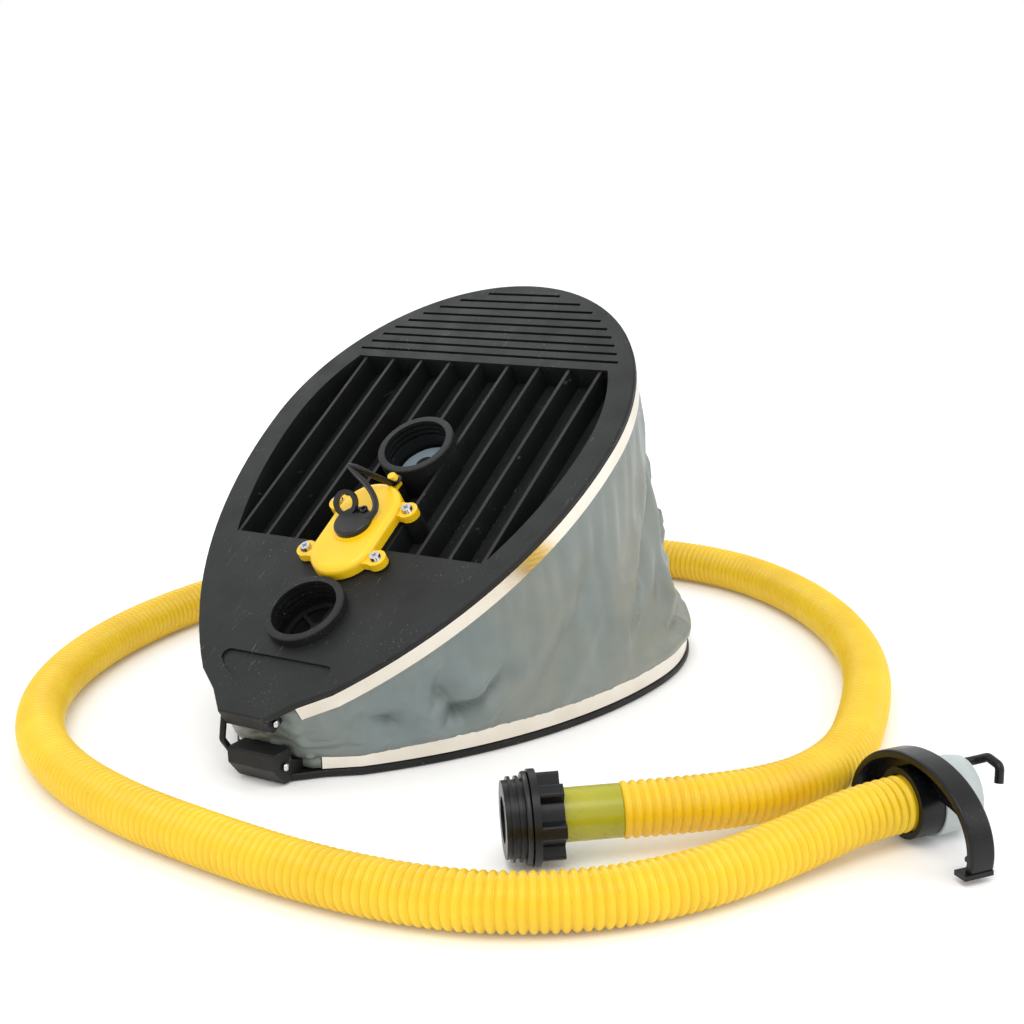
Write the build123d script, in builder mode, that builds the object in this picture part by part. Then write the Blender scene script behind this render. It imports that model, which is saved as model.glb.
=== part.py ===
"""Foot-operated bellows air pump with its hose, connector and valve adapter.

Millimetres, +Z up.  The origin is the middle of the pump's footprint on the floor, and +X
points from the hinge to the toe.  The pump is drawn open, as its return spring leaves it.
"""
import os
from math import cos, hypot, pi, radians, sin, sqrt, tan

from build123d import *

os.makedirs("parts", exist_ok=True)

# ---- driving dimensions: plates -------------------------------------------------------
PLATE_LENGTH = 300.0
PLATE_HALF_WIDTH = 103.5
WIDEST_AT = 187.0          # from the hinge edge
SIDE_RADIUS = 242.0        # long arc from the tab to the widest place
SIDE_START_ANGLE = 133.3   # where that arc begins, about its own centre
TAB_HALF_WIDTH = 13.3
NECK = (11.0, 24.0)        # where the tab's flare becomes steeper
NECK_INWARD = (0.757, -0.659)
RIM = 3.5                  # thickness of the base's flange
SKIN = 3.0                 # thickness of the foot plate's top
WALL_INSET = 3.0
WALL = 2.5
WALL_HEIGHT = 9.0
WALL_START = 9.6           # the walls stop short of the hinge edge

OPEN_ANGLE = 32.3
BASE_EDGE_X = -142.0
PLATE_EDGE_X = -158.0
PLATE_EDGE_Z = 35.4
PIN_X = -146.3
PIN_Z = 9.0
HINGE_WIRE_R = 1.5
RUNNING_GAP = 0.05

# ---- driving dimensions: foot plate details -------------------------------------------
POCKET_FROM = 104.0
POCKET_TO = 236.8
POCKET_INSET = 14.0
DEEP_INSET_START = 20.0    # an outline set in this far has no tab
POCKET_DEPTH = 13.5
POCKET_SKIN = 2.0
RIB_PITCH = 18.3
RIB_WIDTH = 1.8
RIB_COUNT = 9
GROOVE_COUNT = 9
GROOVE_FIRST = 243.0
GROOVE_PITCH = 6.1
GROOVE_WIDTH = 1.8
GROOVE_DEPTH = 1.3
PANEL_SIDE_AT = 34.0       # straight side of the sunken panel
PANEL_ARC_AT = 15.5
PANEL_HALF = 35.5
PANEL_DEPTH = 1.1
PORT_AT = {"intake": 60.0, "outlet": 170.0}
PORT_R = 20.0
PORT_RISE = 5.0
THREAD_MINOR_R = 16.4
THREAD_MAJOR_R = 17.4
THREAD_PITCH = 3.0
THREAD_GROOVE = 1.8
THREAD_GROOVES = 3
THREAD_DEPTH = 11.0
WELL_R = 17.2
GRID_R = 14.2
GRID_THICK = 2.0
HUB_R = 4.0
SPOKE = 2.0
INTAKE_WELL = 11.0         # depth of the intake grid's top below the plate's surface

# ---- driving dimensions: valve cover, plug and flaps ----------------------------------
COVER_AT = 110.5
COVER_LENGTH = 59.0
COVER_WIDTH = 34.0
COVER_HEIGHT = 7.0
GASKET = 1.0
EAR_SPREAD_X = 15.75
EAR_SPREAD_Y = 20.8
EAR_R = 5.0
SCREW_R = 1.5
SCREW_HEAD_R = 3.1
SCREW_LENGTH = 11.0
VENT_R = 6.0
PLUG_STEM_R = 5.9
PLUG_HEAD_R = 9.6
PLUG_HEAD = 2.8
PULL_RING_R = 5.3
PULL_RING_WIRE = 1.1
PULL_RING_AT = (118.0, 6.6, 14.4)
PEG_AT = 144.0
PEG_ACROSS = -2.5
PEG_R = 2.0
PEG_HEIGHT = 5.6
FLAP_R = 15.6
FLAP = 0.8
FLAP_LIFT = 2.5
FLAP_HOLE_R = 2.05
RIVET_R = 2.0
RIVET_HEAD_R = 5.0
SEAT_GAP = 0.1

# ---- driving dimensions: bands, bellows and spring ------------------------------------
BAND_INSET = 1.0
BAND = 0.6
BAND_WIDTH = 8.0
BAND_START = 11.0
BELLOWS_INSET = 1.9
BELLOWS = 0.8
SPRING_AT = 213.0
SPRING_R = 20.0
SPRING_WIRE_R = 1.25
SPRING_TURNS = 6
SPRING_END_GAP = 8.0
SEAT_RING_R = 24.5

# ---- driving dimensions: hose and its ends --------------------------------------------
HOSE_R = 11.6
HOSE_BORE_R = 9.6
CUFF_R = 10.8
CUFF_BORE_R = 9.4
CUFF_LENGTH = 23.5
CUFF_IN_HUB = 8.9
HUB_BORE_R = CUFF_R + RUNNING_GAP
FLANGE_R = 19.3
NOSE_R = 15.6
CREST_R = 17.0
WING_COUNT = 6
HOSE_ROUTE = [
    (-137.3, -180.8, 19.3), (-129.7, -190.1, 19.3), (-112.6, -206.9, 18.2), (-89.7, -221.2, 15.6),
    (-61.3, -230.7, 13.2), (-22, -232, 12.0),
    (28, -219, 11.7), (75, -202, 11.7), (118, -178, 11.7), (160, -144, 11.7), (194, -103, 11.7),
    (216, -60, 11.7), (222, -10, 11.7), (213, 40, 11.7), (192, 86, 11.7), (160, 129, 11.7),
    (118, 163, 11.7), (70, 186, 11.7), (14, 196, 11.7), (-41, 192, 11.7), (-92, 177, 11.7),
    (-139, 150, 11.7), (-178, 111, 11.7), (-203, 66, 11.7), (-218, 15, 11.7), (-225, -38, 11.7),
    (-229, -90, 11.7), (-226, -136, 11.7), (-215, -174, 11.7), (-191, -209, 11.7), (-156, -234, 11.7),
    (-116, -251, 13.3), (-87.7, -263.2, 16.0), (-66.5, -278.3, 16.0),
]

base_plane = Plane(origin=(BASE_EDGE_X, 0, 0))
tilt_cos = cos(radians(OPEN_ANGLE))
tilt_sin = sin(radians(OPEN_ANGLE))
plate_plane = Plane(
    origin=(PLATE_EDGE_X, 0, PLATE_EDGE_Z),
    x_dir=(tilt_cos, 0, tilt_sin),
    z_dir=(-tilt_sin, 0, tilt_cos),
)


def on_plate(along, across, height):
    """A point of the foot plate's own frame: from the hinge edge, to the left, above the top face."""
    return plate_plane.from_local_coords(Vector(along, across, height))


def plate_axis(along, height, across=0):
    """A plane parallel to the foot plate, with its origin on the plate's centre line."""
    return Plane(origin=on_plate(along, across, height), x_dir=plate_plane.x_dir, z_dir=plate_plane.z_dir)


def egg(inset=0.0, start=0.0):
    """Plate outline as a flat sketch, set in all round and cut square near the hinge."""
    slope = (NECK[1] - TAB_HALF_WIDTH) / NECK[0]
    first_half_width = TAB_HALF_WIDTH + slope * start - inset * hypot(1, slope)
    neck = (NECK[0] + NECK_INWARD[0] * inset, NECK[1] + NECK_INWARD[1] * inset)
    radius = SIDE_RADIUS - inset
    centre = (WIDEST_AT, PLATE_HALF_WIDTH - SIDE_RADIUS)
    arc_x = centre[0] + radius * cos(radians(SIDE_START_ANGLE))
    arc_y = centre[1] + radius * sin(radians(SIDE_START_ANGLE))
    toe_reach = PLATE_LENGTH - WIDEST_AT - inset
    side_reach = PLATE_HALF_WIDTH - inset
    with BuildSketch() as outline:
        with BuildLine():
            Polyline((start, 0), (start, first_half_width), neck, (arc_x, arc_y))
            CenterArc(centre, radius, SIDE_START_ANGLE, 90 - SIDE_START_ANGLE)
            EllipticalCenterArc((WIDEST_AT, 0), toe_reach, side_reach, start_angle=0, arc_size=90)
            mirror(about=Plane.XZ)
        make_face()
    return outline.sketch


def is_circle_at(edge, radius, centre):
    """Whether the edge is a circle of that radius about that point."""
    if edge.geom_type != GeomType.CIRCLE:
        return False
    return abs(edge.radius - radius) < 0.01 and (edge.arc_center - centre).length < 0.01


def finish(part, name):
    """Label a finished sub-part and write its STEP file."""
    part.part.label = name
    export_step(part.part, f"parts/{name}.step")


# ---- base -----------------------------------------------------------------------------
spring_foot = Vector(BASE_EDGE_X + SPRING_AT, 0, RIM)
spring_head = on_plate(SPRING_AT, 0, -POCKET_DEPTH - POCKET_SKIN)

with BuildPart() as base_plate:
    with BuildSketch(base_plane):
        add(egg())
    extrude(amount=RIM)
    chamfer(base_plate.edges().group_by(Axis.Z)[0], length=0.8)
    chamfer(base_plate.edges().group_by(Axis.Z)[-1], length=0.5)
    with BuildSketch(base_plane.offset(RIM)):
        add(egg(WALL_INSET, WALL_START))
        add(egg(WALL_INSET + WALL, WALL_START + WALL), mode=Mode.SUBTRACT)
    extrude(amount=WALL_HEIGHT)
    # stiffening ribs on the floor of the base, and the ring that holds the spring's foot
    with BuildSketch(base_plane.offset(RIM)):
        with Locations((87, 0)):
            with GridLocations(0, 28, 1, 3):
                Rectangle(104, 2)
        with Locations((90, 0), (140, 0)):
            Rectangle(2, 118)
        with Locations((SPRING_AT, 0)):
            Circle(SEAT_RING_R + 2.5)
            Circle(SEAT_RING_R, mode=Mode.SUBTRACT)
    extrude(amount=4.5)
finish(base_plate, "base_plate")

block_side = Plane(origin=(0, 13.5, 0), x_dir=(1, 0, 0), z_dir=(0, -1, 0))
with BuildPart() as lower_hinge_block:
    with BuildSketch(block_side):
        with BuildLine():
            Polyline(
                (-153.5, 9.0), (-153.5, 15.4), (-152.5, 16.4), (-141.4, 16.4), (-141.4, 10.5),
                (-133.4, 8.0), (-133.4, RIM), (-142.05, RIM), (-142.05, 0.8), (-147.0, 0.8), close=True,
            )
        make_face()
    extrude(amount=27)
    with BuildSketch(Plane(origin=(PIN_X, 14, PIN_Z), x_dir=(1, 0, 0), z_dir=(0, -1, 0))):
        Circle(HINGE_WIRE_R + RUNNING_GAP)
    extrude(amount=28, mode=Mode.SUBTRACT)
finish(lower_hinge_block, "lower_hinge_block")


def band(name, plane):
    """Flat steel strip round a plate's wall, open at the hinge."""
    with BuildPart() as strip:
        with BuildSketch(plane):
            add(egg(BAND_INSET, BAND_START))
            add(egg(BAND_INSET + BAND, 0), mode=Mode.SUBTRACT)
        extrude(amount=BAND_WIDTH)
    finish(strip, name)


band("lower_band", base_plane.offset(RIM + 0.5))
band("upper_band", plate_plane.offset(-SKIN - 0.5 - BAND_WIDTH))

# ---- foot plate -----------------------------------------------------------------------
with BuildPart() as foot_plate:
    with BuildSketch(plate_plane.offset(-SKIN)):
        add(egg())
    extrude(amount=SKIN)
    rim_edges = foot_plate.edges().filter_by(lambda edge: abs(plate_plane.to_local_coords(edge.center()).Z) < 0.01)
    fillet(rim_edges, radius=1.0)
    with BuildSketch(plate_plane.offset(-SKIN - WALL_HEIGHT)):
        add(egg(WALL_INSET, WALL_START))
        add(egg(WALL_INSET + WALL, WALL_START + WALL), mode=Mode.SUBTRACT)
    extrude(amount=WALL_HEIGHT)
    # pocket: a sunken pan across the plate, with thin ribs that run from hinge to toe
    pan_middle = (POCKET_FROM + POCKET_TO) / 2
    pan_length = POCKET_TO - POCKET_FROM
    with BuildSketch(plate_plane.offset(-POCKET_DEPTH - POCKET_SKIN)):
        add(egg(POCKET_INSET - POCKET_SKIN, DEEP_INSET_START))
        with Locations((pan_middle, 0)):
            Rectangle(pan_length + 2 * POCKET_SKIN, 2 * PLATE_HALF_WIDTH, mode=Mode.INTERSECT)
    extrude(amount=POCKET_DEPTH + POCKET_SKIN - 1)
    with BuildSketch(plate_plane.offset(-POCKET_DEPTH)):
        add(egg(POCKET_INSET, DEEP_INSET_START))
        with Locations((pan_middle, 0)):
            Rectangle(pan_length, 2 * PLATE_HALF_WIDTH, mode=Mode.INTERSECT)
    extrude(amount=POCKET_DEPTH + 1, mode=Mode.SUBTRACT)
    with BuildSketch(plate_plane.offset(-POCKET_DEPTH)):
        add(egg(POCKET_INSET, DEEP_INSET_START))
        with Locations((pan_middle, 0)):
            with GridLocations(0, RIB_PITCH, 1, RIB_COUNT):
                Rectangle(pan_length, RIB_WIDTH, mode=Mode.INTERSECT)
    extrude(amount=POCKET_DEPTH - 0.8)
    # grooves for grip across the toe
    with BuildSketch(plate_plane.offset(-GROOVE_DEPTH)):
        for groove in range(GROOVE_COUNT):
            along = GROOVE_FIRST + groove * GROOVE_PITCH
            half = (PLATE_HALF_WIDTH - 9.5) * sqrt(1 - ((along - WIDEST_AT) / (PLATE_LENGTH - WIDEST_AT - 5)) ** 2)
            with Locations((along, 0)):
                Rectangle(GROOVE_WIDTH, 2 * half)
    extrude(amount=GROOVE_DEPTH + 1, mode=Mode.SUBTRACT)
    # plain sunken panel near the hinge
    with BuildSketch(plate_plane.offset(-PANEL_DEPTH)) as panel:
        with BuildLine():
            Line((PANEL_SIDE_AT, PANEL_HALF), (PANEL_SIDE_AT, -PANEL_HALF))
            ThreePointArc((PANEL_SIDE_AT, -PANEL_HALF), (PANEL_ARC_AT, 0), (PANEL_SIDE_AT, PANEL_HALF))
        make_face()
        fillet(panel.vertices(), radius=3.5)
    extrude(amount=PANEL_DEPTH + 1, mode=Mode.SUBTRACT)
    # pedestal under the valve cover, with a boss under each of its screws
    pedestal = POCKET_DEPTH + POCKET_SKIN / 2
    with BuildSketch(plate_axis(COVER_AT, -pedestal)):
        RectangleRounded(COVER_LENGTH, COVER_WIDTH, COVER_WIDTH / 2 - 0.5)
        with GridLocations(2 * EAR_SPREAD_X, 2 * EAR_SPREAD_Y, 2, 2):
            Circle(EAR_R)
    extrude(amount=pedestal)
    # port collars and their wells
    for name, along in PORT_AT.items():
        well = INTAKE_WELL if name == "intake" else POCKET_DEPTH
        with BuildSketch(plate_axis(along, -well - GRID_THICK)):
            Circle(PORT_R)
        extrude(amount=well + GRID_THICK + PORT_RISE)
        with BuildSketch(plate_axis(along, PORT_RISE - THREAD_DEPTH)):
            Circle(THREAD_MINOR_R)
        extrude(amount=THREAD_DEPTH, mode=Mode.SUBTRACT)
        with BuildSketch(plate_axis(along, -well)):
            Circle(WELL_R)
        extrude(amount=well + PORT_RISE - THREAD_DEPTH, mode=Mode.SUBTRACT)
        for turn in range(THREAD_GROOVES):
            with BuildSketch(plate_axis(along, PORT_RISE - 1.6 - THREAD_GROOVE - turn * THREAD_PITCH)):
                Circle(THREAD_MAJOR_R)
            extrude(amount=THREAD_GROOVE, mode=Mode.SUBTRACT)
        with BuildSketch(plate_axis(along, -well - GRID_THICK)):
            Circle(GRID_R)
            Circle(HUB_R, mode=Mode.SUBTRACT)
            with PolarLocations(0, 3):
                Rectangle(2 * GRID_R, SPOKE, mode=Mode.SUBTRACT)
        extrude(amount=GRID_THICK, mode=Mode.SUBTRACT)
        with BuildSketch(plate_axis(along, -well - GRID_THICK)):
            Circle(RIVET_R)
        extrude(amount=GRID_THICK, mode=Mode.SUBTRACT)
    for along in PORT_AT.values():
        collar_centre = on_plate(along, 0, PORT_RISE)
        fillet(foot_plate.edges().filter_by(lambda edge: is_circle_at(edge, PORT_R, collar_centre)), radius=0.8)
    # vent under the relief plug, and the screws' pilot holes
    with BuildSketch(plate_axis(COVER_AT, -POCKET_DEPTH - POCKET_SKIN)):
        Circle(VENT_R - 1)
        with GridLocations(2 * EAR_SPREAD_X, 2 * EAR_SPREAD_Y, 2, 2):
            Circle(SCREW_R)
    extrude(amount=POCKET_DEPTH + POCKET_SKIN, mode=Mode.SUBTRACT)
    # ring on the pan's underside that holds the spring's head
    with BuildSketch(plate_axis(SPRING_AT, -POCKET_DEPTH - POCKET_SKIN - 4.5)):
        Circle(SEAT_RING_R + 2.5)
        Circle(SEAT_RING_R, mode=Mode.SUBTRACT)
    extrude(amount=4.5)
finish(foot_plate, "foot_plate")

hinge_bore_along = 3.8
hinge_bore_height = -7.2
with BuildPart() as upper_hinge_block:
    with BuildSketch(plate_plane.offset(-SKIN - 7.8)):
        with Locations((4.6, 0)):
            Rectangle(8.6, 27.5)
    extrude(amount=7.8)
    low_edges = upper_hinge_block.edges().filter_by(Axis.Y).group_by(Axis.Z)[0]
    fillet(low_edges, radius=1.2)
    with BuildSketch(Plane(origin=on_plate(hinge_bore_along, 14, hinge_bore_height), z_dir=(0, -1, 0))):
        Circle(HINGE_WIRE_R)
    extrude(amount=28, mode=Mode.SUBTRACT)
finish(upper_hinge_block, "upper_hinge_block")

upper_leg = on_plate(hinge_bore_along, 0, hinge_bore_height)
with BuildPart() as hinge_wire:
    with BuildLine() as wire_path:
        FilletPolyline(
            (PIN_X, -14.4, PIN_Z), (PIN_X, 16, PIN_Z), (-153.5, 16, 19.5),
            (upper_leg.X, 16, upper_leg.Z), (upper_leg.X, -14.6, upper_leg.Z), radius=2.4,
        )
    with BuildSketch(Plane(origin=wire_path.line @ 0, z_dir=wire_path.line % 0)):
        Circle(HINGE_WIRE_R)
    sweep()
finish(hinge_wire, "hinge_wire")

# ---- bellows and return spring --------------------------------------------------------
bellows_foot = base_plane.offset(RIM + WALL_HEIGHT + 0.3)
bellows_head = plate_plane.offset(-SKIN - WALL_HEIGHT - 0.3)
with BuildPart() as bellows:
    for skin, way in ((0, Mode.ADD), (BELLOWS, Mode.SUBTRACT)):
        with BuildSketch(bellows_foot):
            add(egg(BELLOWS_INSET + skin, WALL_START - BELLOWS + skin))
        with BuildSketch(bellows_head):
            add(egg(BELLOWS_INSET + skin, WALL_START - BELLOWS + skin))
        loft(ruled=True, mode=way)
    with BuildSketch(base_plane.offset(RIM)):
        add(egg(BELLOWS_INSET, WALL_START - BELLOWS))
        add(egg(WALL_INSET, WALL_START), mode=Mode.SUBTRACT)
    extrude(amount=WALL_HEIGHT + 0.3)
finish(bellows, "bellows")

spring_line = spring_head - spring_foot
spring_length = spring_line.length - 2 * SPRING_END_GAP
with BuildPart() as return_spring:
    with BuildLine() as coil:
        Helix(
            pitch=spring_length / SPRING_TURNS,
            height=spring_length,
            radius=SPRING_R,
            center=spring_foot + spring_line.normalized() * SPRING_END_GAP,
            direction=spring_line,
        )
    with BuildSketch(Plane(origin=coil.line @ 0, z_dir=coil.line % 0)):
        Circle(SPRING_WIRE_R)
    sweep(is_frenet=True)
finish(return_spring, "return_spring")


# ---- valves ---------------------------------------------------------------------------
def flap(name, along, underside):
    """Rubber disc that slides on its rivet."""
    with BuildPart() as disc:
        with BuildSketch(plate_axis(along, underside)):
            Circle(FLAP_R)
            Circle(FLAP_HOLE_R, mode=Mode.SUBTRACT)
        extrude(amount=FLAP)
    finish(disc, name)


def rivet(name, along, low, high, low_head_r, high_head_r):
    """Plain rivet through a grid's hub: two flat heads on one stem."""
    head = 1.0
    with BuildPart() as pin:
        with BuildSketch(plate_axis(along, low)):
            Circle(RIVET_R)
        extrude(amount=high - low)
        with BuildSketch(plate_axis(along, low)):
            Circle(low_head_r)
        extrude(amount=head)
        with BuildSketch(plate_axis(along, high - head)):
            Circle(high_head_r)
        extrude(amount=head)
    finish(pin, name)


intake_under = -INTAKE_WELL - GRID_THICK - SEAT_GAP - FLAP
outlet_under = -POCKET_DEPTH + SEAT_GAP
flap("intake_flap", PORT_AT["intake"], intake_under)
flap("outlet_flap", PORT_AT["outlet"], outlet_under)
rivet("intake_rivet", PORT_AT["intake"], intake_under - FLAP_LIFT - 1.1, -INTAKE_WELL + 1,
      RIVET_HEAD_R, 3.6)
rivet("outlet_rivet", PORT_AT["outlet"], -POCKET_DEPTH - GRID_THICK - 1, outlet_under + FLAP + FLAP_LIFT + 1.1,
      3.6, RIVET_HEAD_R)

cover_top = GASKET + COVER_HEIGHT
with BuildPart() as cover_gasket:
    with BuildSketch(plate_axis(COVER_AT, 0)):
        SlotOverall(COVER_LENGTH - 1, COVER_WIDTH - 1)
        with GridLocations(2 * EAR_SPREAD_X, 2 * EAR_SPREAD_Y, 2, 2):
            Circle(EAR_R - 0.5)
        with GridLocations(2 * EAR_SPREAD_X, 2 * EAR_SPREAD_Y - 8, 2, 2):
            Rectangle(2 * EAR_R - 2, 8)
        with GridLocations(2 * EAR_SPREAD_X, 2 * EAR_SPREAD_Y, 2, 2):
            Circle(SCREW_R, mode=Mode.SUBTRACT)
        SlotOverall(COVER_LENGTH - 7, COVER_WIDTH - 7, mode=Mode.SUBTRACT)
    extrude(amount=GASKET)
finish(cover_gasket, "cover_gasket")

with BuildPart() as valve_cover:
    with BuildSketch(plate_axis(COVER_AT, GASKET)):
        SlotOverall(COVER_LENGTH, COVER_WIDTH)
    extrude(amount=COVER_HEIGHT)
    top_face = valve_cover.faces().sort_by_distance(on_plate(COVER_AT, 0, cover_top))[0]
    fillet(top_face.edges(), radius=3.2)
    with BuildSketch(plate_axis(COVER_AT, GASKET)):
        with GridLocations(2 * EAR_SPREAD_X, 2 * EAR_SPREAD_Y, 2, 2):
            Circle(EAR_R)
        with GridLocations(2 * EAR_SPREAD_X, 2 * EAR_SPREAD_Y - 8, 2, 2):
            Rectangle(2 * EAR_R - 1, 8)
    extrude(amount=COVER_HEIGHT - 3)
    with BuildSketch(plate_axis(COVER_AT, GASKET)):
        SlotOverall(COVER_LENGTH - 6, COVER_WIDTH - 6)
    extrude(amount=COVER_HEIGHT - 2.5, mode=Mode.SUBTRACT)
    # seat for the plug
    with BuildSketch(plate_axis(COVER_AT, GASKET + COVER_HEIGHT - 3)):
        Circle(PLUG_HEAD_R + 1.5)
    extrude(amount=3.8)
    with BuildSketch(plate_axis(COVER_AT, GASKET)):
        Circle(VENT_R)
        with GridLocations(2 * EAR_SPREAD_X, 2 * EAR_SPREAD_Y, 2, 2):
            Circle(SCREW_R)
    extrude(amount=COVER_HEIGHT + 2, mode=Mode.SUBTRACT)
    # peg for the tether's ring, on a short arm at the toe end
    peg_offset = PEG_AT - COVER_AT
    with BuildSketch(plate_axis(COVER_AT, GASKET)):
        with Locations(((peg_offset + COVER_LENGTH / 2) / 2, PEG_ACROSS)):
            Rectangle(peg_offset - COVER_LENGTH / 2 + 4, 2 * PEG_R)
    extrude(amount=2.5)
    with BuildSketch(plate_axis(PEG_AT, GASKET, PEG_ACROSS)):
        Circle(PEG_R)
    extrude(amount=PEG_HEIGHT)
    with BuildSketch(plate_axis(PEG_AT, GASKET + PEG_HEIGHT, PEG_ACROSS)):
        Circle(PEG_R + 0.8)
    extrude(amount=2.0, taper=20)
finish(valve_cover, "valve_cover")

screw_seat = GASKET + COVER_HEIGHT - 3
with BuildPart() as cover_screws:
    with BuildSketch(plate_axis(COVER_AT, screw_seat - SCREW_LENGTH)):
        with GridLocations(2 * EAR_SPREAD_X, 2 * EAR_SPREAD_Y, 2, 2):
            Circle(SCREW_R)
    extrude(amount=SCREW_LENGTH)
    with BuildSketch(plate_axis(COVER_AT, screw_seat)):
        with GridLocations(2 * EAR_SPREAD_X, 2 * EAR_SPREAD_Y, 2, 2):
            Circle(SCREW_HEAD_R)
    extrude(amount=2.0, taper=18)
    with BuildSketch(plate_axis(COVER_AT, screw_seat + 1.1)):
        with GridLocations(2 * EAR_SPREAD_X, 2 * EAR_SPREAD_Y, 2, 2):
            Rectangle(2.8, 0.7)
            Rectangle(0.7, 2.8)
    extrude(amount=1.5, mode=Mode.SUBTRACT)
finish(cover_screws, "cover_screws")

plug_seat = GASKET + COVER_HEIGHT + 0.8
with BuildPart() as relief_plug:
    with BuildSketch(plate_axis(COVER_AT, 0.5)):
        Circle(PLUG_STEM_R)
    extrude(amount=plug_seat - 0.5)
    with BuildSketch(plate_axis(COVER_AT, plug_seat)):
        Circle(PLUG_HEAD_R)
    extrude(amount=PLUG_HEAD)
    head_face = relief_plug.faces().sort_by_distance(on_plate(COVER_AT, 0, plug_seat + PLUG_HEAD))[0]
    fillet(head_face.edges(), radius=1.4)
    # pull ring, which leans out over the toe side of the head
    ring_middle = on_plate(*PULL_RING_AT)
    ring_normal = plate_plane.z_dir * 0.716 - plate_plane.x_dir * 0.656 - plate_plane.y_dir * 0.12
    with BuildSketch(Plane(origin=ring_middle, z_dir=ring_normal).offset(-PULL_RING_WIRE)):
        Circle(PULL_RING_R + PULL_RING_WIRE)
        Circle(PULL_RING_R - PULL_RING_WIRE, mode=Mode.SUBTRACT)
    extrude(amount=2 * PULL_RING_WIRE)
finish(relief_plug, "relief_plug")

tether_level = GASKET + PEG_HEIGHT - 1.6
with BuildPart() as plug_tether:
    with BuildSketch(plate_axis(PEG_AT, tether_level - 0.6, PEG_ACROSS)):
        Circle(PEG_R + 2.0)
        Circle(PEG_R + 0.1, mode=Mode.SUBTRACT)
    extrude(amount=1.2)
    with BuildLine() as tether_path:
        FilletPolyline(
            on_plate(142.7, -6.0, tether_level), on_plate(142.7, -6.0, 11.5), on_plate(135.5, 2.5, 19.5),
            on_plate(131.0, 8.5, 26.0), on_plate(127.0, 1.5, 22.0), on_plate(125.0, -4.5, 17.0),
            on_plate(119.5, -9.8, 12.6), radius=1.1,
        )
    with BuildSketch(Plane(origin=tether_path.line @ 0, z_dir=tether_path.line % 0)):
        Circle(0.9)
    sweep()
finish(plug_tether, "plug_tether")

# ---- hose -----------------------------------------------------------------------------
route = [Vector(*point) for point in HOSE_ROUTE]
radii = []
for before, here, after in zip(route, route[1:], route[2:]):
    turn = (here - before).get_angle(after - here)
    shorter = min((here - before).length, (after - here).length)
    radii.append(0.45 * shorter / tan(radians(turn / 2)))
print("hose radii", [round(radius) for radius in radii])

with BuildPart() as hose:
    with BuildLine() as hose_path:
        FilletPolyline(*route, radius=radii)
    with BuildSketch(Plane(origin=hose_path.line @ 0, z_dir=hose_path.line % 0)):
        Circle(HOSE_R)
        Circle(HOSE_BORE_R, mode=Mode.SUBTRACT)
    sweep()
finish(hose, "hose")
hose_length = hose_path.wires()[0].length
hose_section = pi * (HOSE_R**2 - HOSE_BORE_R**2)
print("hose length", round(hose_length, 1), "volume ratio", round(hose.part.volume / (hose_section * hose_length), 4))

# ---- screw connector on the cuff ------------------------------------------------------
hose_start = route[0]
nose_way = (route[0] - route[1]).normalized()
nose_way = Vector(nose_way.X, nose_way.Y, 0).normalized()
cuff_plane = Plane(origin=hose_start, z_dir=nose_way)
hub_plane = cuff_plane.offset(CUFF_LENGTH)

with BuildPart() as hose_cuff:
    with BuildSketch(cuff_plane):
        Circle(CUFF_R)
        Circle(CUFF_BORE_R, mode=Mode.SUBTRACT)
    extrude(amount=CUFF_LENGTH + CUFF_IN_HUB)
finish(hose_cuff, "hose_cuff")

with BuildPart() as screw_connector:
    with BuildSketch(hub_plane):
        Circle(12.6)
        with PolarLocations(0, WING_COUNT // 2):
            Rectangle(2 * 17.4, 6.0)
    extrude(amount=10)
    wing_edges = screw_connector.edges().filter_by(GeomType.LINE).filter_by(lambda edge: edge.length > 9)
    fillet(wing_edges.filter_by(lambda edge: edge.distance_to(hub_plane.origin) > 16), radius=1.2)
    with BuildSketch(hub_plane.offset(10)):
        Circle(FLANGE_R)
    extrude(amount=3)
    with BuildSketch(hub_plane.offset(13)):
        Circle(NOSE_R)
    extrude(amount=10.5)
    for ridge in (16.8, 20.0):
        with BuildSketch(hub_plane.offset(ridge)):
            Circle(CREST_R)
        extrude(amount=1.3)
    with BuildSketch(hub_plane):
        Circle(HUB_BORE_R)
    extrude(amount=CUFF_IN_HUB + 0.1, mode=Mode.SUBTRACT)
    with BuildSketch(hub_plane):
        Circle(CUFF_BORE_R)
    extrude(amount=24, mode=Mode.SUBTRACT)
finish(screw_connector, "screw_connector")

with BuildPart() as connector_seal:
    with BuildSketch(hub_plane.offset(13)):
        Circle(FLANGE_R - 0.7)
        Circle(NOSE_R, mode=Mode.SUBTRACT)
    extrude(amount=2.6)
    fillet(connector_seal.edges().filter_by(GeomType.CIRCLE).group_by(SortBy.RADIUS)[-1], radius=1.0)
finish(connector_seal, "connector_seal")

# ---- valve adapter at the far end -----------------------------------------------------
hose_end = route[-1]
end_way = route[-1] - route[-2]
end_way = Vector(end_way.X, end_way.Y, 0).normalized()
adapter_plane = Plane(origin=hose_end, x_dir=Vector(0, 0, 1).cross(end_way), z_dir=end_way)
GRIP_HALF = 42.0
GRIP_RISE = 30.5
GRIP_ROLL = -8.0           # the bow leans over, because it stands on its two tips
GRIP_CENTRE = (-4.2, -8.5)
GRIP_FLOOR = -13.5         # from the hose's axis down to the cut across the tips
GRIP_RIM = 3.0
COLLAR_R = 14.6
NOZZLE_R = 15.5
NOZZLE_LENGTH = 18.0
HOOK_WIRE_R = 1.9


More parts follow.
